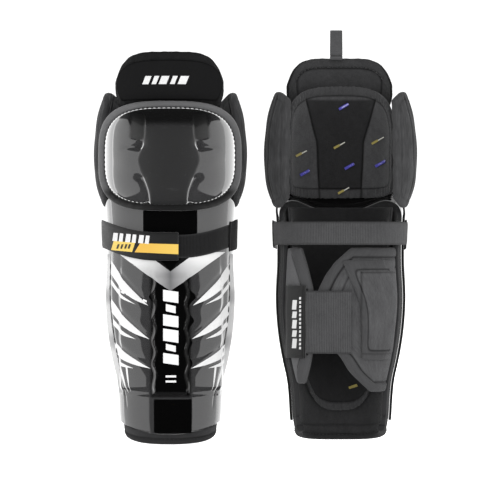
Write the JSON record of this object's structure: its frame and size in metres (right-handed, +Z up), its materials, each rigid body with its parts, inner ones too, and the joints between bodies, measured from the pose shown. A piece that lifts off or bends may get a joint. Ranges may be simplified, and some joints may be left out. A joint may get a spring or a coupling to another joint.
{
  "type": "hockey shin guards",
  "caption": "Pair of ice hockey shin guards: moulded shin shell, domed knee cap, padded wings and thigh flap, wrap-round calf pads with hook-and-loop straps.",
  "frame": {"origin": "on the left guard's leg axis, level with the lower edge of its ankle binding", "axes": "+Z up the leg; the left guard's front faces -Y, and the right guard stands at +X with its front facing +Y"},
  "size_m": [0.3228, 0.171, 0.415],
  "materials": {
    "shell_plastic": "gloss black moulded shell with silver and white printing",
    "cap_plastic": "gloss black domed cap with a matte middle",
    "stitch_thread": "thick black thread",
    "liner_fabric": "brushed black knit over foam",
    "binding_fabric": "smooth dark grey bound edge",
    "hook_tape": "hook and loop tape",
    "stretch_fabric": "black stretch fabric",
    "elastic_webbing": "ribbed black elastic",
    "label_tape": null,
    "foam_pad": "closed foam",
    "wing_fabric": "brushed dark grey knit over foam",
    "flap_fabric": "black grained cloth over foam",
    "flap_smooth": null,
    "webbing": "black woven webbing",
    "wrap_fabric": "brushed dark grey knit over foam"
  },
  "bodies": {
    "left_shin": {"left_shin_shell": "shell_plastic", "left_shell_stitching": "stitch_thread", "left_carrier_liner": "liner_fabric", "left_ankle_binding": "binding_fabric", "left_liner_hook_strips": "hook_tape", "left_shin_liner": "liner_fabric", "left_knee_gusset": "stretch_fabric", "left_upper_strap": "elastic_webbing", "left_strap_keeper": "elastic_webbing"},
    "left_knee": {"left_knee_cap": "cap_plastic", "left_knee_cap_rim": "binding_fabric", "left_knee_pad": "foam_pad", "left_knee_liner": "liner_fabric"},
    "left_outer_wing": {"left_outer_wing": "wing_fabric"},
    "left_inner_wing": {"left_inner_wing": "wing_fabric"},
    "left_flap": {"left_thigh_flap": "flap_fabric", "left_flap_panel": "flap_smooth"},
    "left_tab": {"left_pull_tab": "webbing"},
    "left_strap_end": {"left_strap_hook_tab": "label_tape"},
    "left_wide_wrap": {"left_wide_wrap": "wrap_fabric", "left_calf_pad": "wrap_fabric", "left_calf_strap": "elastic_webbing", "left_calf_hook_tab": "label_tape"},
    "left_narrow_wrap": {"left_narrow_wrap": "wrap_fabric", "left_loop_patch": "hook_tape"},
    "right_shin": {"right_shin_shell": "shell_plastic", "right_shell_stitching": "stitch_thread", "right_carrier_liner": "liner_fabric", "right_ankle_binding": "binding_fabric", "right_liner_hook_strips": "hook_tape", "right_shin_liner": "liner_fabric", "right_knee_gusset": "stretch_fabric", "right_upper_strap": "elastic_webbing", "right_strap_keeper": "elastic_webbing"},
    "right_knee": {"right_knee_cap": "cap_plastic", "right_knee_cap_rim": "binding_fabric", "right_knee_pad": "foam_pad", "right_knee_liner": "liner_fabric"},
    "right_outer_wing": {"right_outer_wing": "wing_fabric"},
    "right_inner_wing": {"right_inner_wing": "wing_fabric"},
    "right_flap": {"right_thigh_flap": "flap_fabric", "right_flap_panel": "flap_smooth"},
    "right_tab": {"right_pull_tab": "webbing"},
    "right_strap_end": {"right_strap_hook_tab": "label_tape"},
    "right_wide_wrap": {"right_wide_wrap": "wrap_fabric", "right_calf_pad": "wrap_fabric", "right_calf_strap": "elastic_webbing", "right_calf_hook_tab": "label_tape"},
    "right_narrow_wrap": {"right_narrow_wrap": "wrap_fabric", "right_loop_patch": "hook_tape"}
  },
  "joints": [
    {"name": "guard_slide", "type": "slide", "parent": "left_shin", "child": "right_shin", "axis": [1, 0, 0], "range_m": [0, 0.15]},
    {"name": "left_knee_flex", "type": "hinge", "parent": "left_shin", "child": "left_knee", "pos_m": [0, 0.005, 0.243], "axis": [-1, 0, 0], "range_deg": [0, 25], "stiffness_Nm_per_rad": 0.4},
    {"name": "left_flap_tilt", "type": "hinge", "parent": "left_knee", "child": "left_flap", "pos_m": [0, -0.054, 0.338], "axis": [1, 0, 0], "range_deg": [-10, 16], "stiffness_Nm_per_rad": 0.25},
    {"name": "left_outer_wing_swing", "type": "hinge", "parent": "left_knee", "child": "left_outer_wing", "pos_m": [-0.068, -0.012, 0.292], "axis": [0, 0, 1], "range_deg": [-6, 25], "stiffness_Nm_per_rad": 0.1},
    {"name": "left_inner_wing_swing", "type": "hinge", "parent": "left_knee", "child": "left_inner_wing", "pos_m": [0.068, -0.012, 0.292], "axis": [0, 0, -1], "range_deg": [-6, 25], "stiffness_Nm_per_rad": 0.1},
    {"name": "left_pull_tab_swing", "type": "hinge", "parent": "left_flap", "child": "left_tab", "pos_m": [-0.003, -0.0458, 0.384], "axis": [1, 0, 0], "range_deg": [0, 150]},
    {"name": "left_strap_end_peel", "type": "hinge", "parent": "left_shin", "child": "left_strap_end", "pos_m": [-0.0675, -0.0142, 0.205], "axis": [0, 0, -1], "range_deg": [0, 75]},
    {"name": "left_wide_wrap_open", "type": "hinge", "parent": "left_shin", "child": "left_wide_wrap", "pos_m": [0.0512, 0.02142, 0.1], "axis": [-0.0618, -0.0295, -0.9977], "range_deg": [0, 100]},
    {"name": "left_narrow_wrap_open", "type": "hinge", "parent": "left_shin", "child": "left_narrow_wrap", "pos_m": [-0.0512, 0.02142, 0.1], "axis": [-0.0618, 0.0295, 0.9977], "range_deg": [0, 50]},
    {"name": "right_knee_flex", "type": "hinge", "parent": "right_shin", "child": "right_knee", "pos_m": [0.17, -0.005, 0.243], "axis": [1, 0, 0], "range_deg": [0, 25], "stiffness_Nm_per_rad": 0.4},
    {"name": "right_flap_tilt", "type": "hinge", "parent": "right_knee", "child": "right_flap", "pos_m": [0.17, 0.054, 0.338], "axis": [-1, 0, 0], "range_deg": [-10, 16], "stiffness_Nm_per_rad": 0.25},
    {"name": "right_outer_wing_swing", "type": "hinge", "parent": "right_knee", "child": "right_outer_wing", "pos_m": [0.238, 0.012, 0.292], "axis": [0, 0, 1], "range_deg": [-6, 25], "stiffness_Nm_per_rad": 0.1},
    {"name": "right_inner_wing_swing", "type": "hinge", "parent": "right_knee", "child": "right_inner_wing", "pos_m": [0.102, 0.012, 0.292], "axis": [0, 0, -1], "range_deg": [-6, 25], "stiffness_Nm_per_rad": 0.1},
    {"name": "right_pull_tab_swing", "type": "hinge", "parent": "right_flap", "child": "right_tab", "pos_m": [0.167, 0.0458, 0.384], "axis": [1, 0, 0], "range_deg": [0, 140], "stiffness_Nm_per_rad": 0.01},
    {"name": "right_strap_end_peel", "type": "hinge", "parent": "right_shin", "child": "right_strap_end", "pos_m": [0.1025, 0.0142, 0.205], "axis": [0, 0, 1], "range_deg": [0, 75]},
    {"name": "right_wide_wrap_open", "type": "hinge", "parent": "right_shin", "child": "right_wide_wrap", "pos_m": [0.2212, -0.02142, 0.1], "axis": [0.0618, -0.0295, 0.9977], "range_deg": [0, 100]},
    {"name": "right_narrow_wrap_open", "type": "hinge", "parent": "right_shin", "child": "right_narrow_wrap", "pos_m": [0.1188, -0.02142, 0.1], "axis": [0.0618, 0.0295, -0.9977], "range_deg": [0, 50]}
  ],
  "couplings": [
    {"joint": "left_narrow_wrap_open", "follows": "left_wide_wrap_open", "ratio": 0.5},
    {"joint": "right_narrow_wrap_open", "follows": "right_wide_wrap_open", "ratio": 0.5}
  ]
}
